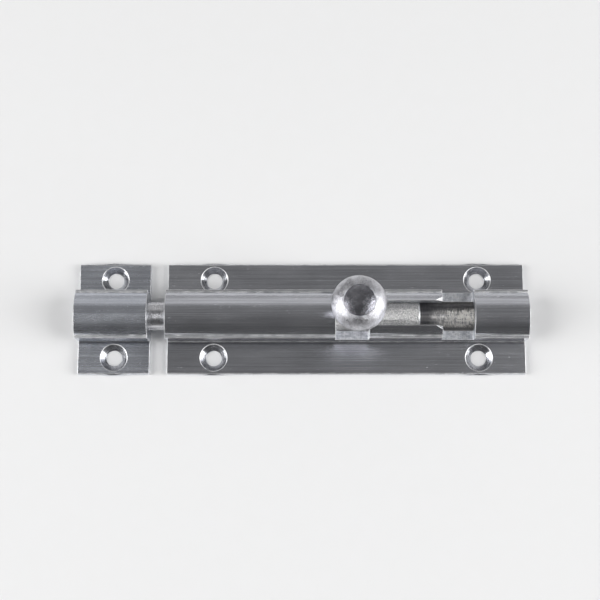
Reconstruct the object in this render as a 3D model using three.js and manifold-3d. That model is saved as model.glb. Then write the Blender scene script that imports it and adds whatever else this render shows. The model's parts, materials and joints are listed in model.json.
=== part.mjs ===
// Straight barrel bolt with its keeper, both cut from one aluminium extrusion.
// Millimetres. +X runs along the bolt towards its tail, +Y runs across the plate and +Z points out of the
// mounting face. The origin is the centre of the barrel plate's back face. The knob stands upright.
import * as THREE from 'three';
import { mergeVertices } from 'three/addons/utils/BufferGeometryUtils.js';
import Module from 'manifold-3d';

const wasm = await Module();
wasm.setup();

// ---- driving dimensions ----

// Extrusion: base plate with an integral round-crowned barrel around the bolt's bore.
const plateWidth = 31.75;
const plateThickness = 2.0;
const plateEdgeRadius = 0.35;
const bodyLength = 101.6;
const keeperLength = 20.3;
const keeperGap = 4.95;
const boreFloor = 2.03;
const barrelWall = 2.53;
const shoulderOverhang = 0.27;
const crownWall = 2.43;
const crownRise = 2.7;
const lipWidth = 0.63;
const grooveWidth = 0.28;
const grooveDepth = 0.35;

// Bolt: one round bar in two lengths.
const rodDiameter = 7.94;
const rodClearance = 0.1;
const rodTipInset = 3.05;
const rodTipChamfer = 1.0;
const rodTailChamfer = 0.35;
const knobToTail = 17.76;
const jointBehindNotch = 36.85;
const spigotDiameter = 4.8;
const spigotLength = 8.0;

// Cut-outs in the barrel, from above: a notch where the bolt is drawn, a slot, and a notch where it locks.
const endCapLength = 15.25;
const drawnNotchLength = 8.85;
const slotLength = 20.5;
const lockedNotchLength = 9.35;
const ledgeDrop = 0.1;
const slotClearance = 0.9;
const cornerBevelReach = 1.45;
const cornerBevelSlopeDeg = 45;

// Countersunk screw holes in both plates.
const screwHoleDiameter = 4.3;
const countersinkDiameter = 7.7;
const countersinkAngleDeg = 90;
const screwEndMargin = 13.2;
const screwEdgeMargin = 4.675;
const edgeSwellChord = 9.0;
const edgeSwellHeight = 0.28;

// Knob. Heights are distances from the rod axis along the stem.
const stemDiameter = 6.0;
const stemEndPlay = 0.46;
const stemFootChamfer = 0.8;
const stemShoulder = 12.9;
const stemShoulderTaper = 1.5;
const neckDiameter = 4.8;
const neckLength = 1.7;
const spotFaceDepth = 0.15;
const stemSpigotDiameter = 3.6;
const stemSpigotDepth = 5.6;
const headTenonDiameter = 3.0;
const headTenonLength = 3.4;
const headDiameter = 15.0;
const headThickness = 10.0;
const headFullness = 2.2;
const headFootDiameter = 5.4;
const facetDiameter = 8.9;
const facetStep = 0.25;
const facetCrown = 0.7;

// Fits and facets.
const fitClearance = 0.1;
const seatClearance = 0.06;
const jointGap = 0.2;
const roundSegments = 64;
const smallSegments = 36;
const headSegments = 56;
const crownSegments = 16;
const edgeSegments = 3;
const swellSegments = 12;
const headSideSegments = 16;
const domeSegments = 6;
// How far a cutting tool runs past the face it cuts.
const past = 1.0;

// ---- derived places ----

const rodRadius = rodDiameter / 2;
const boreRadius = rodRadius + rodClearance;
const rodAxisHeight = boreFloor + boreRadius;
const barrelFootHalfWidth = boreRadius + barrelWall;
const barrelShoulderHalfWidth = barrelFootHalfWidth + shoulderOverhang;
const barrelCrownHeight = rodAxisHeight + boreRadius + crownWall;
const barrelShoulderHeight = barrelCrownHeight - crownRise;
const crownHalfWidth = barrelShoulderHalfWidth - lipWidth - grooveWidth;
const crownRadius = (crownHalfWidth ** 2 + crownRise ** 2) / (2 * crownRise);
const crownCentre = barrelCrownHeight - crownRadius;
const keeperX = -(bodyLength / 2 + keeperGap + keeperLength / 2);
const screwY = plateWidth / 2 - screwEdgeMargin;

const stemRadius = stemDiameter / 2;
const slotWidth = stemDiameter + slotClearance;
const ledgeHeight = rodAxisHeight - ledgeDrop;
const drawnNotchEnd = bodyLength / 2 - endCapLength;
const drawnNotchX = drawnNotchEnd - drawnNotchLength;
const lockedNotchEnd = drawnNotchX - slotLength;
const lockedNotchX = lockedNotchEnd - lockedNotchLength;

const knobX = lockedNotchEnd - stemRadius - stemEndPlay;
const rodTipX = keeperX - keeperLength / 2 + rodTipInset;
const rodTailX = knobX + knobToTail;
const rodJointX = lockedNotchX - jointBehindNotch;
const stemFootRadius = stemRadius - stemFootChamfer;
const spotFaceHeight = rodRadius - spotFaceDepth;
const spotFaceRadius = stemRadius + 2 * fitClearance;
const headCentre = stemShoulder + neckLength + headThickness / 2;

// ---- helpers ----

// A solid from a closed three.js geometry, without its seams and its zero-area triangles.
function solidOf(geometry) {
  const bare = geometry.clone();
  bare.deleteAttribute('normal');
  bare.deleteAttribute('uv');
  const merged = mergeVertices(bare, 1e-5);
  const corners = Array.from(merged.index.array);
  const kept = [];
  for (let i = 0; i < corners.length; i += 3) {
    const [a, b, c] = corners.slice(i, i + 3);
    if (a !== b && b !== c && c !== a) kept.push(a, b, c);
  }
  return new wasm.Manifold(new wasm.Mesh({
    numProp: 3,
    vertProperties: new Float32Array(merged.attributes.position.array),
    triVerts: new Uint32Array(kept),
  }));
}

function geometryOf(solid) {
  const { vertProperties, triVerts, numProp } = solid.getMesh();
  const places = new Float32Array((vertProperties.length / numProp) * 3);
  for (let i = 0; i < places.length / 3; i += 1) {
    places.set(vertProperties.subarray(i * numProp, i * numProp + 3), i * 3);
  }
  const geometry = new THREE.BufferGeometry();
  geometry.setAttribute('position', new THREE.BufferAttribute(places, 3));
  geometry.setIndex(Array.from(triVerts));
  const faceted = geometry.toNonIndexed();
  faceted.computeVertexNormals();
  return faceted;
}

// A solid of revolution from [radius, height] pairs that start and end on its axis. It stands along +Z.
function turned(profile, segments = smallSegments) {
  const points = profile.map(([radius, height]) => new THREE.Vector2(radius, height));
  return solidOf(new THREE.LatheGeometry(points, segments).rotateX(Math.PI / 2));
}

// The same, lying along +X.
function turnedAlongX(profile, segments = roundSegments) {
  const points = profile.map(([radius, x]) => new THREE.Vector2(radius, x));
  return solidOf(new THREE.LatheGeometry(points, segments).rotateZ(-Math.PI / 2));
}

// An outline in X and Y, raised from one height to another.
function raised(outline, from, to) {
  const geometry = new THREE.ExtrudeGeometry(outline, {
    depth: to - from,
    bevelEnabled: false,
    curveSegments: smallSegments / 4,
  });
  return solidOf(geometry.translate(0, 0, from));
}

function outlineOf(points) {
  return new THREE.Shape(points.map(([x, y]) => new THREE.Vector2(x, y)));
}

// ---- the extrusion ----

// The cross-section, drawn in Y and Z with its right half first and then mirrored.
function sectionOutline() {
  const half = plateWidth / 2;
  const r = plateEdgeRadius;
  const right = [[half, 0]];
  for (let i = 0; i <= edgeSegments; i += 1) {
    const angle = (i / edgeSegments) * (Math.PI / 2);
    right.push([half - r + r * Math.cos(angle), plateThickness - r + r * Math.sin(angle)]);
  }
  right.push([barrelFootHalfWidth, plateThickness]);
  right.push([barrelShoulderHalfWidth, barrelShoulderHeight - lipWidth]);
  right.push([barrelShoulderHalfWidth, barrelShoulderHeight]);
  right.push([barrelShoulderHalfWidth - lipWidth, barrelShoulderHeight]);
  right.push([barrelShoulderHalfWidth - lipWidth, barrelShoulderHeight - grooveDepth]);
  right.push([crownHalfWidth, barrelShoulderHeight - grooveDepth]);
  const spread = Math.asin(crownHalfWidth / crownRadius);
  for (let i = 0; i < crownSegments / 2; i += 1) {
    const angle = spread * (1 - i / (crownSegments / 2));
    right.push([crownRadius * Math.sin(angle), crownCentre + crownRadius * Math.cos(angle)]);
  }
  const left = right.map(([y, z]) => [-y, z]).reverse();
  return outlineOf([...right, [0, barrelCrownHeight], ...left]);
}

// A length of the extrusion with its bore, centred on x.
function extrusion(length, x) {
  const section = sectionOutline();
  const bore = new THREE.Path();
  bore.absarc(0, rodAxisHeight, boreRadius, 0, 2 * Math.PI, true);
  section.holes.push(bore);
  const geometry = new THREE.ExtrudeGeometry(section, {
    depth: length,
    bevelEnabled: false,
    curveSegments: roundSegments,
  });
  const alongX = new THREE.Matrix4().makeBasis(
    new THREE.Vector3(0, 1, 0),
    new THREE.Vector3(0, 0, 1),
    new THREE.Vector3(1, 0, 0),
  );
  return solidOf(geometry.applyMatrix4(alongX).translate(x - length / 2, 0, 0));
}

// Countersinking pushes the plate's edge out a little beside each hole: a shallow arc over a chord.
function edgeSwell(x, side) {
  const halfChord = edgeSwellChord / 2;
  const radius = (halfChord ** 2 + edgeSwellHeight ** 2) / (2 * edgeSwellHeight);
  const spread = Math.asin(halfChord / radius);
  const edge = plateWidth / 2;
  const points = [[x - halfChord, side * (edge - past)]];
  for (let i = 0; i <= swellSegments; i += 1) {
    const angle = spread * ((2 * i) / swellSegments - 1);
    const swell = radius * (Math.cos(angle) - Math.cos(spread));
    points.push([x + radius * Math.sin(angle), side * (edge + swell)]);
  }
  points.push([x + halfChord, side * (edge - past)]);
  return raised(outlineOf(points), 0, plateThickness - plateEdgeRadius);
}

function screwHole(x, y) {
  const holeRadius = screwHoleDiameter / 2;
  const rimRadius = countersinkDiameter / 2;
  const slope = Math.tan(((countersinkAngleDeg / 2) * Math.PI) / 180);
  const coneDepth = (rimRadius - holeRadius) / slope;
  const hole = turned([
    [0, -past],
    [holeRadius, -past],
    [holeRadius, plateThickness - coneDepth],
    [rimRadius, plateThickness],
    [rimRadius, plateThickness + past],
    [0, plateThickness + past],
  ]);
  return hole.translate([x, y, 0]);
}

// Screw holes and edge swells, mirrored about the barrel, at each x.
function drilled(plate, places) {
  let made = plate;
  for (const x of places) {
    for (const side of [-1, 1]) {
      made = made.add(edgeSwell(x, side));
      made = made.subtract(screwHole(x, side * screwY));
    }
  }
  return made;
}

// Both notches and the slot between them, as one outline seen from above.
function cutOut() {
  const reach = plateWidth / 2;
  const half = slotWidth / 2;
  const upper = [
    [drawnNotchEnd, reach],
    [drawnNotchX, reach],
    [drawnNotchX, half],
    [lockedNotchEnd, half],
    [lockedNotchEnd, reach],
    [lockedNotchX, reach],
  ];
  const lower = upper.map(([x, y]) => [x, -y]).reverse();
  return raised(outlineOf([...upper, ...lower]), ledgeHeight, barrelCrownHeight + past);
}

// A block whose underside is the sloping facet that takes a corner of the crown off. The corner stands at x
// on one side of the slot, and the metal lies towards inwards (+1 or -1) along X and outwards from the slot.
function cornerBevel(x, inwards, side) {
  const slope = (cornerBevelSlopeDeg * Math.PI) / 180;
  const half = slotWidth / 2;
  const edgeHeight = crownCentre + Math.sqrt(crownRadius ** 2 - half ** 2);
  const away = new THREE.Vector3(-inwards, -side, 0).normalize();
  const facing = away.multiplyScalar(Math.sin(slope)).setZ(Math.cos(slope));
  const size = 4 * cornerBevelReach;
  const turn = new THREE.Quaternion().setFromUnitVectors(new THREE.Vector3(0, 0, 1), facing);
  const block = new THREE.BoxGeometry(size, size, size).translate(0, 0, size / 2).applyQuaternion(turn);
  const low = edgeHeight - cornerBevelReach * Math.tan(slope);
  return solidOf(block.translate(x, side * half, low));
}

function barrelBody() {
  const screwX = bodyLength / 2 - screwEndMargin;
  let body = drilled(extrusion(bodyLength, 0), [-screwX, screwX]).subtract(cutOut());
  for (const side of [-1, 1]) {
    body = body.subtract(cornerBevel(lockedNotchEnd, 1, side));
    body = body.subtract(cornerBevel(drawnNotchX, -1, side));
  }
  return body;
}

function keeper() {
  return drilled(extrusion(keeperLength, keeperX), [keeperX]);
}

// ---- the bolt ----

function shoot() {
  const socketRadius = spigotDiameter / 2 + fitClearance;
  const end = rodJointX - jointGap / 2;
  const socketEnd = end - spigotLength - 2 * fitClearance;
  const bar = turnedAlongX([
    [0, rodTipX],
    [rodRadius - rodTipChamfer, rodTipX],
    [rodRadius, rodTipX + rodTipChamfer],
    [rodRadius, end],
    [socketRadius, end],
    [socketRadius, socketEnd],
    [0, socketEnd],
  ]);
  return bar.translate([0, 0, rodAxisHeight]);
}

function tail() {
  const start = rodJointX + jointGap / 2;
  const bar = turnedAlongX([
    [0, start - spigotLength],
    [spigotDiameter / 2, start - spigotLength],
    [spigotDiameter / 2, start],
    [rodRadius, start],
    [rodRadius, rodTailX - rodTailChamfer],
    [rodRadius - rodTailChamfer, rodTailX],
    [0, rodTailX],
  ]);
  const crossHoleRadius = stemSpigotDiameter / 2 + fitClearance;
  const crossHole = turned([
    [0, spotFaceHeight - stemSpigotDepth - fitClearance],
    [crossHoleRadius, spotFaceHeight - stemSpigotDepth - fitClearance],
    [crossHoleRadius, spotFaceHeight],
    [spotFaceRadius, spotFaceHeight],
    [spotFaceRadius, rodRadius + past],
    [0, rodRadius + past],
  ]);
  return bar.subtract(crossHole.translate([knobX, 0, 0])).translate([0, 0, rodAxisHeight]);
}

// ---- the knob, upright on the rod axis ----

function knobStem() {
  const foot = spotFaceHeight + seatClearance;
  const neckRadius = neckDiameter / 2;
  const seat = headCentre - headThickness / 2 - seatClearance;
  const stem = turned([
    [0, foot - stemSpigotDepth],
    [stemSpigotDiameter / 2, foot - stemSpigotDepth],
    [stemSpigotDiameter / 2, foot],
    [stemFootRadius, foot],
    [stemRadius, foot + stemFootChamfer],
    [stemRadius, stemShoulder - stemShoulderTaper],
    [neckRadius, stemShoulder],
    [neckRadius, seat],
    [headTenonDiameter / 2, seat],
    [headTenonDiameter / 2, seat + headTenonLength],
    [0, seat + headTenonLength],
  ]);
  return stem.translate([knobX, 0, rodAxisHeight]);
}

// The head is a flattened spheroid, (r/R)^n + (z/H)^n = 1, cut off below for the neck and above for a
// stepped dome. This is its radius at a height above its centre.
function headRadiusAt(height) {
  const share = Math.abs(height) / (headThickness / 2);
  return (headDiameter / 2) * (1 - share ** headFullness) ** (1 / headFullness);
}

// The height above its centre at which it has this radius.
function headHeightAt(radius) {
  const share = radius / (headDiameter / 2);
  return (headThickness / 2) * (1 - share ** headFullness) ** (1 / headFullness);
}

function knobHead() {
  const bottom = -headThickness / 2;
  const lowEnd = -headHeightAt(headFootDiameter / 2);
  const ridge = headHeightAt(facetDiameter / 2);
  const profile = [
    [0, bottom],
    [headFootDiameter / 2, bottom],
  ];
  for (let i = 0; i <= headSideSegments; i += 1) {
    const share = (1 - Math.cos((i / headSideSegments) * Math.PI)) / 2;
    const height = lowEnd + (ridge - lowEnd) * share;
    profile.push([headRadiusAt(height), height]);
  }
  const facetRadius = facetDiameter / 2;
  profile.push([facetRadius, ridge - facetStep]);
  const domeRadius = (facetRadius ** 2 + facetCrown ** 2) / (2 * facetCrown);
  for (let i = 0; i < domeSegments; i += 1) {
    const radius = (facetRadius - facetStep) * (1 - i / domeSegments);
    const drop = domeRadius - Math.sqrt(domeRadius ** 2 - radius ** 2);
    profile.push([radius, ridge - facetStep + facetCrown - drop]);
  }
  profile.push([0, ridge - facetStep + facetCrown]);
  const socketDepth = headTenonLength + 2 * fitClearance;
  const socket = turned([
    [0, bottom - past],
    [headTenonDiameter / 2 + fitClearance, bottom - past],
    [headTenonDiameter / 2 + fitClearance, bottom + socketDepth],
    [0, bottom + socketDepth],
  ]);
  return turned(profile, headSegments).subtract(socket).translate([knobX, 0, rodAxisHeight + headCentre]);
}

// ---- the assembly ----

function metal(color, roughness) {
  return new THREE.MeshStandardMaterial({ color, roughness, metalness: 1.0 });
}

const extrudedAluminium = metal(0xa9acae, 0.42);
const brightSteel = metal(0xc9cbcc, 0.22);
const dullSteel = metal(0xa2a3a3, 0.5);
const turnedSteel = metal(0xbdbebd, 0.28);

const pieces = [
  ['barrel_body', barrelBody(), extrudedAluminium],
  ['keeper', keeper(), extrudedAluminium],
  ['bolt_shoot', shoot(), brightSteel],
  ['bolt_tail', tail(), dullSteel],
  ['knob_stem', knobStem(), turnedSteel],
  ['knob_head', knobHead(), turnedSteel],
];

const barrelBolt = new THREE.Group();
for (const [name, solid, material] of pieces) {
  const mesh = new THREE.Mesh(geometryOf(solid), material);
  mesh.name = name;
  barrelBolt.add(mesh);
}

export default barrelBolt;
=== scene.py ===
"""A straight barrel bolt and its keeper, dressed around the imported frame.

Lengths are in metres, and +Z points out of the mounting face.
"""

from __future__ import annotations

import json
import logging
import math
from dataclasses import dataclass, field
from enum import Enum
from typing import Any

import bmesh
import bpy
import numpy as np
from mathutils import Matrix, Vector

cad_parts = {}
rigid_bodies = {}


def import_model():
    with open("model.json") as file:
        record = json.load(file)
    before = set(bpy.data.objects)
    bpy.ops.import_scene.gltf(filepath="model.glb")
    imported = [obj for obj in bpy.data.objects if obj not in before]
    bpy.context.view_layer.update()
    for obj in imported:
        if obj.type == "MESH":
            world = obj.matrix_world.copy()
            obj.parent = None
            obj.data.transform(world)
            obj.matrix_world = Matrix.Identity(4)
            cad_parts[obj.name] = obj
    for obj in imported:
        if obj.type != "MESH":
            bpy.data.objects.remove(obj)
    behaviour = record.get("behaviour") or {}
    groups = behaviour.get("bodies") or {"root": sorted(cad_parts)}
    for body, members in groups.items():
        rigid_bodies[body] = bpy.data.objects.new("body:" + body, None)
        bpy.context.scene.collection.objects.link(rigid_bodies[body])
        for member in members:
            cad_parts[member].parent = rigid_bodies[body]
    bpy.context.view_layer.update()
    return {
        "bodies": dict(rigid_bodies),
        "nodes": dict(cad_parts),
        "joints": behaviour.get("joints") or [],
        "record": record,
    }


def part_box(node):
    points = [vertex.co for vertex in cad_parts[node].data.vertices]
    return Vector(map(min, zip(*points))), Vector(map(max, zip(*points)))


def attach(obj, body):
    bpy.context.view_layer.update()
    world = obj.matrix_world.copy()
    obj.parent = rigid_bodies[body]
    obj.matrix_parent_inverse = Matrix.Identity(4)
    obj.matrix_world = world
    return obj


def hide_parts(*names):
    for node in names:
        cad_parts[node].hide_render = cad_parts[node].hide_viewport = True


MM = 0.001
log = logging.getLogger("barrel_bolt")


# ---------------------------------------------------------------- shader building


class Cut(Enum):
    """How a face of the extrusion was made, in the order of its material slots."""

    DRAWN = 0
    SAWN = 1
    BORED = 2
    SUNK = 3
    EDGE = 4


class Reading:
    """A shader socket that takes part in arithmetic, one Math node for each operator."""

    def __init__(self, book: "ShaderBook", socket: bpy.types.NodeSocket) -> None:
        """Keeps the socket and the builder that adds nodes after it.

        Args:
            book: the material's node tree builder.
            socket: the output socket that holds the value.
        """
        self.book = book
        self.socket = socket

    def _with(self, operation: str, *others: Any, clamp: bool = False) -> "Reading":
        """Adds one Math node after this reading.

        Args:
            operation: the Math node's operation.
            others: further operands, readings or numbers.
            clamp: whether the result is held between 0 and 1.

        Returns:
            The result as a reading.
        """
        values = {0: self, **{n + 1: other for n, other in enumerate(others)}}
        return self.book.add("Math", {"operation": operation, "use_clamp": clamp}, values)

    def __add__(self, other: Any) -> "Reading":
        """The sum."""
        return self._with("ADD", other)

    __radd__ = __add__

    def __mul__(self, other: Any) -> "Reading":
        """The product."""
        return self._with("MULTIPLY", other)

    __rmul__ = __mul__

    def __sub__(self, other: Any) -> "Reading":
        """This less the other."""
        return self._with("SUBTRACT", other)

    def __rsub__(self, other: float) -> "Reading":
        """The number less this."""
        return (self * -1.0) + other

    def __truediv__(self, other: Any) -> "Reading":
        """This over the other."""
        return self._with("DIVIDE", other)

    def held(self) -> "Reading":
        """This value held between 0 and 1."""
        return self._with("ADD", 0.0, clamp=True)

    def size(self) -> "Reading":
        """This value without its sign."""
        return self._with("ABSOLUTE")

    def rise(self, low: float, high: float) -> "Reading":
        """Stretches the values from low to high over 0 to 1.

        Args:
            low: the value that becomes 0.
            high: the value that becomes 1.

        Returns:
            A straight ramp between the two, held outside them.
        """
        return ((self - low) / (high - low)).held()


class ShaderBook:
    """Writes one material's nodes."""

    def __init__(self, name: str) -> None:
        """Starts a new material.

        Args:
            name: the new material's name.
        """
        self.material = bpy.data.materials.new(name)
        self.material.use_nodes = True
        self.tree = self.material.node_tree
        self.shader = self.tree.nodes["Principled BSDF"]

    def feed(self, socket: bpy.types.NodeSocket, value: Any) -> None:
        """Sets or links one input.

        Args:
            socket: the input.
            value: a reading, an output socket, a number or a tuple.
        """
        if isinstance(value, Reading):
            self.tree.links.new(value.socket, socket)
        elif isinstance(value, bpy.types.NodeSocket):
            self.tree.links.new(value, socket)
        else:
            socket.default_value = value

    def add(self, kind: str, settings: dict[str, Any], values: dict[Any, Any], out: Any = 0) -> Reading:
        """Adds any node: its settings first, then its inputs.

        Args:
            kind: the node's type without the ShaderNode prefix.
            settings: properties of the node, such as an operation.
            values: inputs by name or number.
            out: the output that is read, by name or number.

        Returns:
            That output as a reading.
        """
        node = self.tree.nodes.new("ShaderNode" + kind)
        for key, value in settings.items():
            setattr(node, key, value)
        for key, value in values.items():
            self.feed(node.inputs[key], value)
        return Reading(self, node.outputs[out])

    def place(self) -> Reading:
        """The point on the piece, from its own object coordinates, in metres."""
        return self.add("TexCoord", {}, {}, out="Object")

    def stretched(self, scale: tuple[float, float, float]) -> Reading:
        """Scales the point on the piece by a different amount along each axis.

        Args:
            scale: pattern lengths per millimetre along X, Y and Z.

        Returns:
            The point on the piece in pattern lengths.
        """
        per_metre = tuple(1000.0 * s for s in scale)
        return self.add("Mapping", {}, {"Vector": self.place(), "Scale": per_metre})

    def noise(self, scale: tuple[float, float, float], detail: float = 2.0, rough: float = 0.5) -> Reading:
        """Noise stretched along the axes.

        Args:
            scale: cells per millimetre along X, Y and Z.
            detail: octaves of finer noise.
            rough: how strong the finer octaves are.

        Returns:
            Noise of about 0.3 to 0.7 with a middle of 0.5.
        """
        return self.add(
            "TexNoise",
            {"noise_dimensions": "3D"},
            {"Vector": self.stretched(scale), "Scale": 1.0, "Detail": detail, "Roughness": rough},
            out=0,
        )

    def axis(self, letter: str) -> Reading:
        """One coordinate of the point on the piece.

        Args:
            letter: X, Y or Z.

        Returns:
            The point's coordinate along that axis, in millimetres.
        """
        parts = self.add("SeparateXYZ", {}, {"Vector": self.place()}, out=letter)
        return parts * 1000.0

    def blend(self, share: Reading, low: Any, high: Any) -> Reading:
        """Mixes two colours.

        Args:
            share: 0 for the first colour, 1 for the second.
            low: the first colour, three numbers or a reading.
            high: the second colour, likewise.

        Returns:
            The mixed colour.
        """
        first, second = ((*c, 1.0) if isinstance(c, tuple) else c for c in (low, high))
        return self.add("Mix", {"data_type": "RGBA"}, {0: share, 6: first, 7: second}, out=2)

    def finish(
        self, colour: Reading, roughness: Reading, height: Reading, depth_mm: float
    ) -> bpy.types.Material:
        """Joins the patterns to a metal shader.

        Args:
            colour: the metal's own colour.
            roughness: its roughness.
            height: relief from 0 to 1.
            depth_mm: how deep the relief is.

        Returns:
            The material.
        """
        bump = self.add("Bump", {}, {"Height": height, "Distance": depth_mm * MM, "Strength": 1.0})
        self.feed(self.shader.inputs["Base Color"], colour)
        self.feed(self.shader.inputs["Roughness"], roughness.held())
        self.feed(self.shader.inputs["Normal"], bump)
        self.shader.inputs["Metallic"].default_value = 1.0
        return self.material


# ---------------------------------------------------------------- finishes


@dataclass(frozen=True)
class DrawnAluminium:
    """Satin skin of the extrusion, with fine die lines along its length."""

    name: str = "extruded_aluminium"
    dark: tuple[float, float, float] = (0.48, 0.49, 0.53)
    light: tuple[float, float, float] = (0.86, 0.87, 0.92)
    roughness: float = 0.20
    line_pitch: tuple[float, float, float] = (0.004, 4.6, 4.6)
    relief_mm: float = 0.014
    # Lip colour: a painted highlight along each lip, also standing for metal rubbed bright by handling.
    rubbed: tuple[float, float, float] = (0.80, 0.81, 0.84)
    # Colour of the painted shade in the grooves and in the corners at the barrel's foot.
    painted_shade_tone: tuple[float, float, float] = (0.09, 0.09, 0.10)
    lip_mm: float = 6.58
    lip_half_mm: tuple[float, float] = (0.25, 0.4)
    lip_height_mm: tuple[float, float] = (9.5, 9.8)
    groove_mm: float = 6.10
    groove_half_mm: tuple[float, float] = (0.12, 0.22)
    foot_mm: float = 6.60
    foot_half_mm: tuple[float, float] = (0.1, 0.8)
    plate_mm: float = 2.0
    corner_rise_mm: tuple[float, float] = (0.1, 0.9)
    # How strongly the painted shade darkens the metal.
    painted_shade_share: float = 0.85

    def make(self) -> bpy.types.Material:
        """Die lines, broad cloudy streaks, a few bright nicks and scuffs, a painted highlight along the lips
        and painted shade in the grooves and at the barrel's foot.

        Returns:
            The material.
        """
        book = ShaderBook(self.name)
        fine = book.noise(self.line_pitch, detail=3.0, rough=0.65)
        broad = book.noise((0.015, 1.3, 1.3), detail=2.0)
        cloud = book.noise((0.06, 0.16, 0.16), detail=3.0)
        nicks = book.noise((1.3, 2.1, 2.1), detail=1.0).rise(0.70, 0.76)
        scuffs = book.noise((0.35, 1.4, 1.4), detail=4.0, rough=0.7).rise(0.60, 0.72)
        lines = fine.rise(0.34, 0.66)
        threads = book.noise((0.03, 2.3, 2.3), detail=4.0, rough=0.75).rise(0.36, 0.64)
        tone = (
            lines * 0.3
            + threads * 0.35
            + broad.rise(0.3, 0.7) * 0.1
            + cloud.rise(0.35, 0.65) * 0.2
        ).held()
        plain = book.blend((tone + nicks * 0.5 + scuffs * 0.18).held(), self.dark, self.light)
        # Painted highlight: the lips are blended towards a lighter colour, as where their edges catch the
        # light; it also stands for rubbed metal.
        lip = self.lip(book)
        unshaded_colour = book.blend(lip, plain, self.rubbed)
        # Painted shade: the grooves beside the crown and the corners at the barrel's foot are darkened.
        colour = book.blend(self.painted_shade(book), unshaded_colour, self.painted_shade_tone)
        roughness = (lines - 0.5) * 0.07 + (cloud - 0.5) * 0.12 + scuffs * 0.05 + lip * 0.06 + self.roughness
        return book.finish(colour, roughness, lines * 0.6 + nicks * 0.5, self.relief_mm)

    def lip(self, book: ShaderBook) -> Reading:
        """The lips beside the grooves, painted lighter as a highlight where their edges catch the light; the
        band also stands for metal that handling keeps bright.

        Args:
            book: the material's node tree builder.

        Returns:
            1 on the lips, 0 elsewhere.
        """
        across, height = book.axis("Y").size(), book.axis("Z")
        band = 1.0 - (across - self.lip_mm).size().rise(*self.lip_half_mm)
        return band * height.rise(*self.lip_height_mm)

    def painted_shade(self, book: ShaderBook) -> Reading:
        """Painted shade in the grooves beside the crown and in the corners at the barrel's foot.

        Args:
            book: the material's node tree builder.

        Returns:
            1 where shade is painted, 0 elsewhere.
        """
        across, height = book.axis("Y").size(), book.axis("Z")
        groove = 1.0 - (across - self.groove_mm).size().rise(*self.groove_half_mm)
        above_plate = 1.0 - (height - self.plate_mm).rise(*self.corner_rise_mm)
        corner = (1.0 - (across - self.foot_mm).size().rise(*self.foot_half_mm)) * above_plate
        return ((groove + corner) * self.painted_shade_share).held()


@dataclass(frozen=True)
class SawnAluminium:
    """Bare bright metal where the extrusion was sawn or milled across."""

    name: str = "sawn_aluminium"
    dark: tuple[float, float, float] = (0.40, 0.42, 0.46)
    light: tuple[float, float, float] = (0.88, 0.89, 0.92)
    roughness: float = 0.32
    relief_mm: float = 0.035

    def make(self) -> bpy.types.Material:
        """Cutter marks across the bolt, with smeared bright patches.

        Returns:
            The material.
        """
        book = ShaderBook(self.name)
        marks = book.noise((2.6, 0.35, 0.5), detail=3.0, rough=0.6).rise(0.34, 0.66)
        smear = book.noise((0.7, 1.3, 1.3), detail=4.0, rough=0.7).rise(0.40, 0.62)
        colour = book.blend((smear * 0.65 + marks * 0.35).held(), self.dark, self.light)
        roughness = self.roughness + (1.0 - smear) * 0.18 + (marks - 0.5) * 0.1
        return book.finish(colour, roughness, marks * 0.7 + smear * 0.3, self.relief_mm)


@dataclass(frozen=True)
class BoredAluminium:
    """Wall of the bore, dark, and scratched bright on its floor where the notch cutter ran into it."""

    name: str = "bored_aluminium"
    dark: tuple[float, float, float] = (0.30, 0.30, 0.32)
    light: tuple[float, float, float] = (0.98, 0.96, 0.92)
    roughness: float = 0.28
    relief_mm: float = 0.06
    bright_from_mm: float = 23.0
    bright_to_mm: float = 31.0
    floor_half_width_mm: float = 3.1
    floor_fade_mm: float = 1.1

    def make(self) -> bpy.types.Material:
        """Streaks around the bore, stronger towards the tail notch.

        Returns:
            The material.
        """
        book = ShaderBook(self.name)
        streaks = book.noise((2.6, 0.7, 0.7), detail=5.0, rough=0.8).rise(0.44, 0.57)
        patches = book.noise((0.35, 0.7, 0.7), detail=3.0, rough=0.6).rise(0.38, 0.60)
        draw = book.noise((0.02, 2.2, 2.2), detail=2.0).rise(0.42, 0.66)
        towards_tail = book.axis("X").rise(self.bright_from_mm, self.bright_to_mm)
        fade_from = self.floor_half_width_mm - self.floor_fade_mm
        # The walls beside the floor stay dark; only the floor takes the bright scratches.
        on_floor = 1.0 - book.axis("Y").size().rise(fade_from, self.floor_half_width_mm)
        worn = (on_floor * towards_tail * (streaks * 0.8 + patches * 0.55)).held()
        colour = book.blend((worn + draw * 0.22 * on_floor + streaks * 0.08).held(), self.dark, self.light)
        roughness = self.roughness + worn * 0.26
        relief = worn * streaks * 0.8 + draw * 0.12 + patches * 0.08
        return book.finish(colour, roughness, relief, self.relief_mm)


@dataclass(frozen=True)
class SunkAluminium:
    """Bright cone of a countersink."""

    name: str = "countersunk_aluminium"
    dark: tuple[float, float, float] = (0.42, 0.43, 0.46)
    light: tuple[float, float, float] = (0.78, 0.79, 0.83)
    roughness: float = 0.15
    relief_mm: float = 0.004

    def make(self) -> bpy.types.Material:
        """Fine turning rings, which run at one height, and faint stains.

        Returns:
            The material.
        """
        book = ShaderBook(self.name)
        rings = book.noise((0.15, 0.15, 5.0), detail=2.0).rise(0.35, 0.65)
        stains = book.noise((0.7, 0.7, 0.7), detail=3.0).rise(0.4, 0.65)
        colour = book.blend((rings * 0.5 + stains * 0.5).held(), self.dark, self.light)
        roughness = self.roughness + rings * 0.08 + stains * 0.06
        return book.finish(colour, roughness, rings, self.relief_mm)


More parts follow.
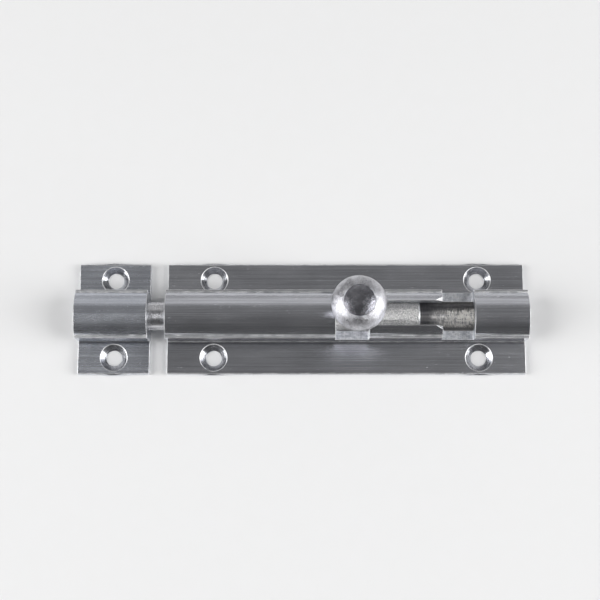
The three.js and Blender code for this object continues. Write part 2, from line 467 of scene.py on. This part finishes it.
@dataclass(frozen=True)
class RubbedEdge:
    """Edges of the extrusion, rubbed bright by handling."""

    name: str = "rubbed_aluminium"
    dark: tuple[float, float, float] = (0.50, 0.51, 0.53)
    light: tuple[float, float, float] = (0.97, 0.97, 0.98)
    roughness: float = 0.42
    relief_mm: float = 0.01

    def make(self) -> bpy.types.Material:
        """Bright metal, broken here and there by duller lengths.

        Returns:
            The material.
        """
        book = ShaderBook(self.name)
        lengths = book.noise((0.4, 0.6, 0.6), detail=3.0).rise(0.38, 0.58)
        nicks = book.noise((3.0, 3.0, 3.0), detail=2.0).rise(0.35, 0.65)
        colour = book.blend((lengths * 0.7 + nicks * 0.3).held(), self.dark, self.light)
        return book.finish(colour, self.roughness + nicks * 0.12, nicks, self.relief_mm)


@dataclass(frozen=True)
class BrightBar:
    """Ground bright bar with a few finger marks."""

    name: str = "bright_steel"
    dark: tuple[float, float, float] = (0.34, 0.34, 0.36)
    light: tuple[float, float, float] = (0.76, 0.76, 0.78)
    roughness: float = 0.22
    relief_mm: float = 0.02

    def make(self) -> bpy.types.Material:
        """Grinding lines around the bar, rub marks along it and dull smudges.

        Returns:
            The material.
        """
        book = ShaderBook(self.name)
        grind = book.noise((7.0, 0.4, 0.4), detail=3.0, rough=0.6).rise(0.35, 0.65)
        rubs = book.noise((0.12, 2.4, 2.4), detail=2.0).rise(0.45, 0.68)
        smudge = book.noise((0.25, 0.3, 0.3), detail=3.0).rise(0.45, 0.65)
        colour = book.blend((grind * 0.4 + rubs * 0.4 + 0.3 - smudge * 0.2).held(), self.dark, self.light)
        roughness = self.roughness + grind * 0.05 + smudge * 0.07
        return book.finish(colour, roughness, grind, self.relief_mm)


@dataclass(frozen=True)
class GrainyBar:
    """Bar with a coarse crystalline grain that sparkles."""

    name: str = "dull_steel"
    dark: tuple[float, float, float] = (0.42, 0.42, 0.42)
    light: tuple[float, float, float] = (0.99, 0.98, 0.97)
    roughness: float = 0.33
    relief_mm: float = 0.17

    def make(self) -> bpy.types.Material:
        """Coarse grain with finer grain inside it, and drag marks along the bar.

        Returns:
            The material.
        """
        book = ShaderBook(self.name)
        coarse = book.noise((2.2, 2.4, 2.4), detail=3.0, rough=0.62).rise(0.36, 0.64)
        fine = book.noise((5.0, 5.0, 5.0), detail=1.0).rise(0.35, 0.65)
        drag = book.noise((0.15, 1.6, 1.6), detail=2.0).rise(0.48, 0.7)
        colour = book.blend((coarse * 0.6 + fine * 0.3 + drag * 0.15).held(), self.dark, self.light)
        roughness = self.roughness + (1.0 - coarse) * 0.14
        return book.finish(colour, roughness, coarse * 0.75 + fine * 0.25, self.relief_mm)


@dataclass(frozen=True)
class TurnedKnob:
    """Turned and tumbled knob: satin, with small dents and darker handling marks."""

    name: str = "turned_steel"
    dark: tuple[float, float, float] = (0.24, 0.24, 0.26)
    light: tuple[float, float, float] = (0.80, 0.80, 0.84)
    roughness: float = 0.27
    relief_mm: float = 0.08

    def make(self) -> bpy.types.Material:
        """Fine peened grain over soft clouds of wear.

        Returns:
            The material.
        """
        book = ShaderBook(self.name)
        grain = book.noise((3.4, 3.4, 3.4), detail=3.0, rough=0.65).rise(0.34, 0.66)
        dents = book.noise((0.9, 0.9, 0.9), detail=2.0).rise(0.40, 0.62)
        wear = book.noise((0.3, 0.3, 0.3), detail=3.0).rise(0.38, 0.62)
        colour = book.blend((grain * 0.45 + dents * 0.2 + wear * 0.35).held(), self.dark, self.light)
        roughness = self.roughness + (1.0 - grain) * 0.1 + (wear - 0.5) * 0.08
        return book.finish(colour, roughness, grain * 0.5 + dents * 0.5, self.relief_mm)


@dataclass(frozen=True)
class PaleCard:
    """Matt pale card that the bolt lies on."""

    name: str = "pale_card"
    tone: float = 0.80

    def make(self) -> bpy.types.Material:
        """A near-white matt surface with a trace of tooth.

        Returns:
            The material.
        """
        book = ShaderBook(self.name)
        tooth = book.noise((0.2, 0.2, 0.2), detail=2.0)
        low = (self.tone * 0.985,) * 3
        high = (self.tone, self.tone, self.tone * 1.005)
        book.feed(book.shader.inputs["Base Color"], book.blend(tooth, low, high))
        book.shader.inputs["Roughness"].default_value = 0.9
        book.shader.inputs["Specular IOR Level"].default_value = 0.2
        return book.material


# ---------------------------------------------------------------- meshes


def place_in_scene(name: str, mesh: bpy.types.Mesh) -> bpy.types.Object:
    """Puts a mesh in the scene.

    Args:
        name: the piece's name.
        mesh: its mesh, already in place.

    Returns:
        The linked object at the origin.
    """
    piece = bpy.data.objects.new(name, mesh)
    bpy.context.scene.collection.objects.link(piece)
    return piece


def turned_surface(
    name: str, profile: np.ndarray, segments: int, along: str, centre: Vector
) -> bpy.types.Object:
    """A surface of revolution. Point (i, j) is radius r_i turned by angle 2 pi j / n, at distance h_i along.

    Args:
        name: the piece's name.
        profile: rows of (radius, distance along the axis); the first and last radius are 0.
        segments: steps around the axis.
        along: "X" or "Z", the axis it is turned about.
        centre: where distance 0 lies.

    Returns:
        The closed piece, smooth-shaded.
    """
    rings = profile[1:-1]
    angle = np.linspace(0.0, 2.0 * math.pi, segments, endpoint=False)
    radius, distance = rings[:, :1], np.repeat(rings[:, 1:], segments, axis=1)
    first, second = radius * np.cos(angle), radius * np.sin(angle)
    order = (first, second, distance) if along == "Z" else (distance, first, second)
    body = np.stack(order, axis=-1).reshape(-1, 3)
    axis = np.array((0.0, 0.0, 1.0) if along == "Z" else (1.0, 0.0, 0.0))
    ends = profile[[0, -1], 1:] * axis
    points = np.concatenate([body, ends]) + np.array(centre)
    ring, step = np.meshgrid(np.arange(len(rings) - 1), np.arange(segments), indexing="ij")
    after = (step + 1) % segments
    this_ring, next_ring = ring * segments, (ring + 1) * segments
    quads = np.stack(
        [this_ring + step, this_ring + after, next_ring + after, next_ring + step],
        axis=-1,
    ).reshape(-1, 4)
    count, last = len(body), (len(rings) - 1) * segments
    around = np.arange(segments)
    low = np.stack([np.full(segments, count), (around + 1) % segments, around], axis=-1)
    high = np.stack([np.full(segments, count + 1), last + around, last + (around + 1) % segments], axis=-1)
    mesh = bpy.data.meshes.new(name)
    mesh.from_pydata(points.tolist(), [], quads.tolist() + low.tolist() + high.tolist())
    settle_normals(mesh)
    return place_in_scene(name, mesh)


def settle_normals(mesh: bpy.types.Mesh) -> None:
    """Turns every face outwards and shades the mesh smooth.

    Args:
        mesh: a closed mesh.
    """
    made = bmesh.new()
    made.from_mesh(mesh)
    bmesh.ops.recalc_face_normals(made, faces=made.faces)
    made.to_mesh(mesh)
    made.free()
    mesh.polygons.foreach_set("use_smooth", np.ones(len(mesh.polygons), dtype=bool))


def round_over(corner: np.ndarray, radius: float, turns: int = 4) -> np.ndarray:
    """Rounds the inner corners of an outline with arcs through Bezier blending.

    Each corner P becomes (1-t)^2 A + 2t(1-t) P + t^2 B, with A and B at the radius from P on its two sides.

    Args:
        corner: the outline's points, whose first and last stay.
        radius: how far from a corner the round starts; shorter sides limit it.
        turns: steps in each round.

    Returns:
        The outline with its corners rounded.
    """
    before, middle, after = corner[:-2], corner[1:-1], corner[2:]
    back, ahead = before - middle, after - middle
    back_length = np.linalg.norm(back, axis=1, keepdims=True)
    ahead_length = np.linalg.norm(ahead, axis=1, keepdims=True)
    start = middle + back / back_length * np.minimum(radius, back_length * 0.45)
    stop = middle + ahead / ahead_length * np.minimum(radius, ahead_length * 0.45)
    share = np.linspace(0.0, 1.0, turns)[None, :, None]
    rounds = (
        (1 - share) ** 2 * start[:, None]
        + 2 * share * (1 - share) * middle[:, None]
        + share**2 * stop[:, None]
    )
    return np.concatenate([corner[:1], rounds.reshape(-1, 2), corner[-1:]])


@dataclass
class CleanCopy:
    """Makes a smooth-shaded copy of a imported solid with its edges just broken, so that they catch light."""

    edge_mm: float = 0.13
    edge_steps: int = 2
    smooth_under_deg: float = 28.0
    weld_mm: float = 0.002
    flat_under_deg: float = 0.6
    edge_slot: int = -1

    def of(self, frame: dict[str, Any], node: str, name: str) -> bpy.types.Object:
        """Makes the copy.

        Args:
            node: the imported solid.
            name: the new piece's name.

        Returns:
            The copy, with its flat faces joined again.
        """
        made = bmesh.new()
        made.from_mesh(frame["nodes"][node].data)
        bmesh.ops.remove_doubles(made, verts=made.verts, dist=self.weld_mm * MM)
        bmesh.ops.dissolve_limit(
            made,
            angle_limit=math.radians(self.flat_under_deg),
            use_dissolve_boundaries=False,
            verts=made.verts,
            edges=made.edges,
            delimit={"NORMAL"},
        )
        mesh = bpy.data.meshes.new(name)
        made.to_mesh(mesh)
        made.free()
        mesh.materials.clear()
        mesh.polygons.foreach_set("use_smooth", np.ones(len(mesh.polygons), dtype=bool))
        piece = place_in_scene(name, mesh)
        self._break_edges(piece)
        return piece

    def _break_edges(self, piece: bpy.types.Object) -> None:
        """Marks the sharp edges and bevels them.

        Args:
            piece: the copy.
        """
        limit = math.radians(self.smooth_under_deg)
        piece.data.set_sharp_from_angle(angle=limit)
        bevel = piece.modifiers.new("broken_edges", "BEVEL")
        bevel.width = self.edge_mm * MM
        bevel.segments = self.edge_steps
        bevel.limit_method = "ANGLE"
        bevel.angle_limit = limit
        bevel.use_clamp_overlap = False
        bevel.harden_normals = True
        bevel.material = self.edge_slot
        bevel.miter_outer = "MITER_ARC"


# ---------------------------------------------------------------- the extrusions


@dataclass
class Extrusion:
    """A cut length of the extrusion: flanges, crowned barrel, bore and countersunk holes."""

    node: str
    piece_name: str
    body: str
    plate_thickness: float = 2.0 * MM
    barrel_half_width: float = 7.0 * MM
    rod_axis_height: float = 6.1 * MM
    bore_radius: float = 4.12 * MM
    plate_rim: float = 0.5 * MM
    ledge_reach: float = 1.0 * MM
    copier: CleanCopy = field(default_factory=lambda: CleanCopy(edge_slot=Cut.EDGE.value))

    def build(self, frame: dict[str, Any], metals: list[bpy.types.Material]) -> bpy.types.Object:
        """Copies the solid and gives each face the finish of its cut.

        Args:
            metals: one material for each Cut, in its order.

        Returns:
            The dressed piece.
        """
        piece = self.copier.of(frame, self.node, self.piece_name)
        for metal in metals:
            piece.data.materials.append(metal)
        cuts = self.sort_faces(piece.data)
        piece.data.polygons.foreach_set("material_index", cuts.astype(np.int32))
        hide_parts(self.node)
        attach(piece, self.body)
        return piece

    def sort_faces(self, mesh: bpy.types.Mesh) -> np.ndarray:
        """Tells from each face's place and direction how it was cut.

        A face is sawn if it looks along X, is a wall of the slot or is a ledge of a notch. It is bored if it
        looks inwards at no more than the bore's radius from the bolt's axis, and sunk if it lies within the
        thickness of a flange, away from its rim. The bevels at the notches' corners count as edges.

        Args:
            mesh: the extrusion's mesh.

        Returns:
            The Cut number of each face.
        """
        count = len(mesh.polygons)
        normal, middle = np.empty(count * 3), np.empty(count * 3)
        mesh.polygons.foreach_get("normal", normal)
        mesh.polygons.foreach_get("center", middle)
        normal, middle = normal.reshape(-1, 3), middle.reshape(-1, 3)
        over = middle[:, 2] - self.rod_axis_height
        from_axis = np.hypot(middle[:, 1], over)
        inwards = normal[:, 1] * middle[:, 1] + normal[:, 2] * over
        bored = (from_axis < self.bore_radius) & (inwards < 0) & (np.abs(normal[:, 0]) < 0.5)
        in_barrel = np.abs(middle[:, 1]) < self.barrel_half_width
        slot_wall = in_barrel & (np.abs(normal[:, 1]) > 0.99) & (inwards < 0) & ~bored
        ledge = in_barrel & (normal[:, 2] > 0.99) & (np.abs(over) < self.ledge_reach)
        facet = in_barrel & (np.abs(normal[:, 0]) > 0.2) & (np.abs(normal[:, 0]) < 0.8) & (over > 0)
        sawn = (np.abs(normal[:, 0]) > 0.9) | slot_wall | ledge
        low = (middle[:, 2] > 0.01 * MM) & (middle[:, 2] < self.plate_thickness - 0.01 * MM)
        rim = mesh_half_width(mesh) - self.plate_rim
        plain_edge = (np.abs(normal[:, 0]) > 0.999) | (np.abs(middle[:, 1]) > rim)
        sunk = low & ~in_barrel & ~plain_edge
        cuts = np.full(count, Cut.DRAWN.value)
        cuts[sawn] = Cut.SAWN.value
        cuts[bored] = Cut.BORED.value
        cuts[sunk] = Cut.SUNK.value
        cuts[facet] = Cut.EDGE.value
        return cuts


def mesh_half_width(mesh: bpy.types.Mesh) -> float:
    """Measures a mesh across the plate.

    Args:
        mesh: any mesh.

    Returns:
        Half its width along Y.
    """
    points = np.empty(len(mesh.vertices) * 3)
    mesh.vertices.foreach_get("co", points)
    across = points.reshape(-1, 3)[:, 1]
    return float(across.max() - across.min()) / 2


# ---------------------------------------------------------------- the bolt and its knob


@dataclass
class Bolt:
    """The round bar: a bright front length and a grainy rear length."""

    tip_round: float = 1.0 * MM
    socket_radius: float = 2.5 * MM
    socket_depth: float = 8.2 * MM
    segments: int = 128
    end_slope: float = 0.7
    slope_play: float = 0.15
    copier: CleanCopy = field(default_factory=lambda: CleanCopy(edge_slot=1))

    def build_shoot(self, metal: bpy.types.Material) -> bpy.types.Object:
        """The front length, turned about X, with a broken tip and the blind socket of the tail's spigot.

        Args:
            metal: its finish.

        Returns:
            The dressed piece.
        """
        low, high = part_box("bolt_shoot")
        radius = (high.z - low.z) / 2
        centre = Vector((0.0, (low.y + high.y) / 2, (low.z + high.z) / 2))
        outline = np.array(
            [
                (0.0, low.x),
                (radius - self.tip_round, low.x),
                (radius, low.x + self.tip_round),
                (radius, high.x),
                (self.socket_radius, high.x),
                (self.socket_radius, high.x - self.socket_depth),
                (0.0, high.x - self.socket_depth),
            ]
        )
        profile = round_over(outline, self.tip_round * 0.35, turns=5)
        piece = turned_surface("shoot_bar", profile, self.segments, "X", centre)
        piece.data.set_sharp_from_angle(angle=math.radians(40.0))
        piece.data.materials.append(metal)
        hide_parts("bolt_shoot")
        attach(piece, "shoot")
        return piece

    def build_tail(
        self, frame: dict[str, Any], metal: bpy.types.Material, edge_metal: bpy.types.Material
    ) -> bpy.types.Object:
        """The rear length with its spot face and cross hole.

        Args:
            metal: its finish.
            edge_metal: the finish of its broken edges and of the chamfer at its end.

        Returns:
            The dressed piece.
        """
        piece = self.copier.of(frame, "bolt_tail", "tail_bar")
        piece.data.materials.append(metal)
        piece.data.materials.append(edge_metal)
        count = len(piece.data.polygons)
        normal = np.empty(count * 3)
        piece.data.polygons.foreach_get("normal", normal)
        aslant = np.abs(normal[::3] - self.end_slope) < self.slope_play
        piece.data.polygons.foreach_set("material_index", aslant.astype(np.int32))
        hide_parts("bolt_tail")
        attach(piece, "knob")
        return piece


@dataclass
class Knob:
    """The turned stem and its mushroom head."""

    stem_shoulder: float = 12.9 * MM
    stem_radius: float = 3.0 * MM
    foot_chamfer: float = 0.8 * MM
    shoulder_taper: float = 1.5 * MM
    neck_radius: float = 2.4 * MM
    spigot_radius: float = 1.8 * MM
    spigot_depth: float = 5.6 * MM
    tenon_radius: float = 1.5 * MM
    tenon_length: float = 3.4 * MM
    tenon_play: float = 0.1 * MM
    facet_radius: float = 4.45 * MM
    facet_step: float = 0.25 * MM
    facet_crown: float = 0.7 * MM
    foot_radius: float = 2.7 * MM
    fullness: float = 2.2
    segments: int = 160

    def build_stem(self, metal: bpy.types.Material) -> bpy.types.Object:
        """The stem, turned about Z.

        Args:
            metal: its finish.

        Returns:
            The dressed piece.
        """
        low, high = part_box("knob_stem")
        bar_low, bar_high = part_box("bolt_tail")
        axis_height = bar_low.z / 2 + bar_high.z / 2
        centre = Vector(((low.x + high.x) / 2, (low.y + high.y) / 2, 0.0))
        foot, seat = low.z + self.spigot_depth, high.z - self.tenon_length
        shoulder = axis_height + self.stem_shoulder
        outline = np.array(
            [
                (0.0, low.z),
                (self.spigot_radius, low.z),
                (self.spigot_radius, foot),
                (self.stem_radius - self.foot_chamfer, foot),
                (self.stem_radius, foot + self.foot_chamfer),
                (self.stem_radius, shoulder - self.shoulder_taper),
                (self.neck_radius, shoulder),
                (self.neck_radius, seat),
                (self.tenon_radius, seat),
                (self.tenon_radius, high.z),
                (0.0, high.z),
            ]
        )
        profile = round_over(outline, 0.14 * MM, turns=4)
        piece = turned_surface("knob_pin", profile, self.segments, "Z", centre)
        piece.data.set_sharp_from_angle(angle=math.radians(35.0))
        return self._dress(piece, "knob_stem", metal)

    def build_head(self, metal: bpy.types.Material, face_metal: bpy.types.Material) -> bpy.types.Object:
        """The head, turned about Z: a flattened spheroid, (r/R)^n + (z/H)^n = 1, with a stepped, domed top.

        Args:
            metal: its finish.
            face_metal: the finish of the domed top.

        Returns:
            The dressed piece.
        """
        low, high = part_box("knob_head")
        wide = (high.x - low.x) / 2
        centre = Vector(((low.x + high.x) / 2, (low.y + high.y) / 2, 0.0))
        n = self.fullness
        crown = self.facet_crown
        # The ridge stands at H times its share, and the dome ends crown minus step above the ridge.
        ridge_share = (1 - (self.facet_radius / wide) ** n) ** (1 / n)
        half = (high.z - low.z - (crown - self.facet_step)) / (1 + ridge_share)
        middle = low.z + half
        start = -((1 - (self.foot_radius / wide) ** n) ** (1 / n))
        turn = (1 - np.cos(np.linspace(0.0, math.pi, 60))) / 2
        share = start + (ridge_share - start) * turn
        side = np.stack([wide * (1 - np.abs(share) ** n) ** (1 / n), middle + half * share], axis=-1)
        ridge = side[-1, 1]
        across = np.linspace(self.facet_radius - self.facet_step, 0.0, 24)
        dome = np.stack([across, high.z - crown * (across / self.facet_radius) ** 2], axis=-1)
        lip = np.array(
            [
                (self.facet_radius - 0.12 * MM, ridge + 0.03 * MM),
                (self.facet_radius - 0.2 * MM, ridge - 0.1 * MM),
            ]
        )
        bore = self.tenon_radius + self.tenon_play
        bore_end = low.z + self.tenon_length + 2 * self.tenon_play
        base = np.array([(0.0, bore_end), (bore, bore_end), (bore, low.z), (self.foot_radius, low.z)])
        profile = np.concatenate([base, side, lip, dome])
        piece = turned_surface("knob_cap", profile, self.segments, "Z", centre)
        piece.data.set_sharp_from_angle(angle=math.radians(40.0))
        self._dress(piece, "knob_head", metal)
        piece.data.materials.append(face_metal)
        rings = np.repeat(np.arange(1, len(profile) - 2), self.segments)
        on_face = (rings >= len(profile) - len(dome)).astype(np.int32)
        ends = np.repeat([0, 1], self.segments)
        piece.data.polygons.foreach_set("material_index", np.concatenate([on_face, ends]).astype(np.int32))
        return piece

    @staticmethod
    def _dress(piece: bpy.types.Object, node: str, metal: bpy.types.Material) -> bpy.types.Object:
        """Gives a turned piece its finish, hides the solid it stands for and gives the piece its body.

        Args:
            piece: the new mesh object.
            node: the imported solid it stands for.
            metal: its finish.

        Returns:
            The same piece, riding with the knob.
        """
        piece.data.materials.append(metal)
        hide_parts(node)
        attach(piece, "knob")
        return piece


# ---------------------------------------------------------------- the studio


@dataclass
class SoftBox:
    """One large soft light that looks at the bolt."""

    name: str
    azimuth_deg: float
    elevation_deg: float
    distance: float
    width: float
    height: float
    watts: float

    def build(self, target: Vector) -> bpy.types.Object:
        """Makes the light. Azimuth 0 stands on the -Y side and 90 on the +X side.

        Args:
            target: the point it looks at.

        Returns:
            The light.
        """
        light = bpy.data.lights.new(self.name, "AREA")
        light.shape = "RECTANGLE"
        light.size, light.size_y = self.width, self.height
        light.energy = self.watts
        lamp = bpy.data.objects.new(self.name, light)
        bpy.context.scene.collection.objects.link(lamp)
        a, e = math.radians(self.azimuth_deg), math.radians(self.elevation_deg)
        out = Vector((math.sin(a) * math.cos(e), -math.cos(a) * math.cos(e), math.sin(e)))
        lamp.location = target + out * self.distance
        lamp.rotation_mode = "QUATERNION"
        lamp.rotation_quaternion = (-out).to_track_quat("-Z", "Y")
        return lamp


@dataclass
class Studio:
    """Pale floor, soft lights and the camera."""

    floor_span: float = 6.0
    floor_drop: float = 0.02 * MM
    front_sky: float = 0.10
    back_sky: float = 0.24
    sky_from: float = -0.75
    sky_to: float = 0.95
    lens: float = 79.3
    camera_distance: float = 0.3755
    tilt_deg: float = 11.0
    aim: tuple[float, float, float] = (-13.1 * MM, 5.05 * MM, 4.0 * MM)
    lights: tuple[SoftBox, ...] = (
        SoftBox("left_box", -80.0, 31.0, 1.1, 0.7, 1.25, 13.2),
        SoftBox("right_box", 80.0, 31.0, 1.1, 0.7, 1.25, 13.2),
        SoftBox("back_card", 180.0, 30.0, 1.3, 1.8, 0.8, 1.6),
    )

    def build(self, card: bpy.types.Material) -> None:
        """Sets the sky, the floor, the lights and the camera.

        Args:
            card: the floor's finish.
        """
        scene = bpy.context.scene
        scene.view_settings.view_transform = "Standard"
        scene.world = self._sky()
        half = self.floor_span / 2
        mesh = bpy.data.meshes.new("floor")
        corners = [(-half, -half), (half, -half), (half, half), (-half, half)]
        mesh.from_pydata([(x, y, -self.floor_drop) for x, y in corners], [], [(0, 1, 2, 3)])
        mesh.materials.append(card)
        place_in_scene("floor", mesh)
        for light in self.lights:
            light.build(Vector(self.aim))
        self._camera(scene)

    def _sky(self) -> bpy.types.World:
        """A plain grey sky, darker on the -Y side and paler on the +Y side.

        Returns:
            The world.
        """
        world = bpy.data.worlds.new("studio")
        world.use_nodes = True
        tree = world.node_tree
        direction = tree.nodes.new("ShaderNodeTexCoord")
        parts = tree.nodes.new("ShaderNodeSeparateXYZ")
        ramp = tree.nodes.new("ShaderNodeMapRange")
        ramp.interpolation_type = "SMOOTHSTEP"
        ramp.inputs["From Min"].default_value = self.sky_from
        ramp.inputs["From Max"].default_value = self.sky_to
        ramp.inputs["To Min"].default_value = self.front_sky
        ramp.inputs["To Max"].default_value = self.back_sky
        tree.links.new(direction.outputs["Generated"], parts.inputs["Vector"])
        tree.links.new(parts.outputs["Y"], ramp.inputs["Value"])
        tree.links.new(ramp.outputs["Result"], tree.nodes["Background"].inputs["Color"])
        return world

    def _camera(self, scene: bpy.types.Scene) -> None:
        """A camera almost overhead, leaning a little towards the -Y side.

        Args:
            scene: the scene that looks through it.
        """
        data = bpy.data.cameras.new("camera")
        data.lens = self.lens
        data.sensor_width = 36.0
        data.clip_start, data.clip_end = 0.01, 20.0
        camera = bpy.data.objects.new("camera", data)
        scene.collection.objects.link(camera)
        tilt = math.radians(self.tilt_deg)
        out = Vector((0.0, -math.sin(tilt), math.cos(tilt)))
        camera.location = Vector(self.aim) + out * self.camera_distance
        camera.rotation_euler = (tilt, 0.0, 0.0)
        scene.camera = camera


# ---------------------------------------------------------------- assembly


def main() -> None:
    """Builds every piece in order and reports it."""
    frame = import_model()
    Studio().build(PaleCard().make())
    finishes = (DrawnAluminium(), SawnAluminium(), BoredAluminium(), SunkAluminium(), RubbedEdge())
    metals = [finish.make() for finish in finishes]
    paler = DrawnAluminium(
        "extruded_aluminium_pale",
        dark=(0.52, 0.54, 0.60),
        light=(0.80, 0.83, 0.90),
        roughness=0.26,
    )
    made = [
        Extrusion("barrel_body", "barrel_extrusion", "body").build(frame, metals),
        Extrusion("keeper", "keeper_extrusion", "keeper").build(frame, [paler.make(), *metals[1:]]),
    ]
    bolt = Bolt()
    made.append(bolt.build_shoot(BrightBar().make()))
    made.append(bolt.build_tail(frame, GrainyBar().make(), metals[Cut.EDGE.value]))
    knob = Knob()
    stem = TurnedKnob("turned_stem_steel", dark=(0.36, 0.36, 0.38), roughness=0.22, relief_mm=0.03)
    made.append(knob.build_stem(stem.make()))
    faced = TurnedKnob(
        "faced_steel",
        dark=(0.24, 0.24, 0.27),
        light=(0.50, 0.50, 0.54),
        roughness=0.13,
        relief_mm=0.03,
    )
    made.append(knob.build_head(TurnedKnob().make(), faced.make()))
    for piece in made:
        log.info("%s: %d faces", piece.name, len(piece.data.polygons))


if __name__ == "__main__":
    logging.basicConfig(level=logging.INFO, format="%(name)s %(message)s")
    main()
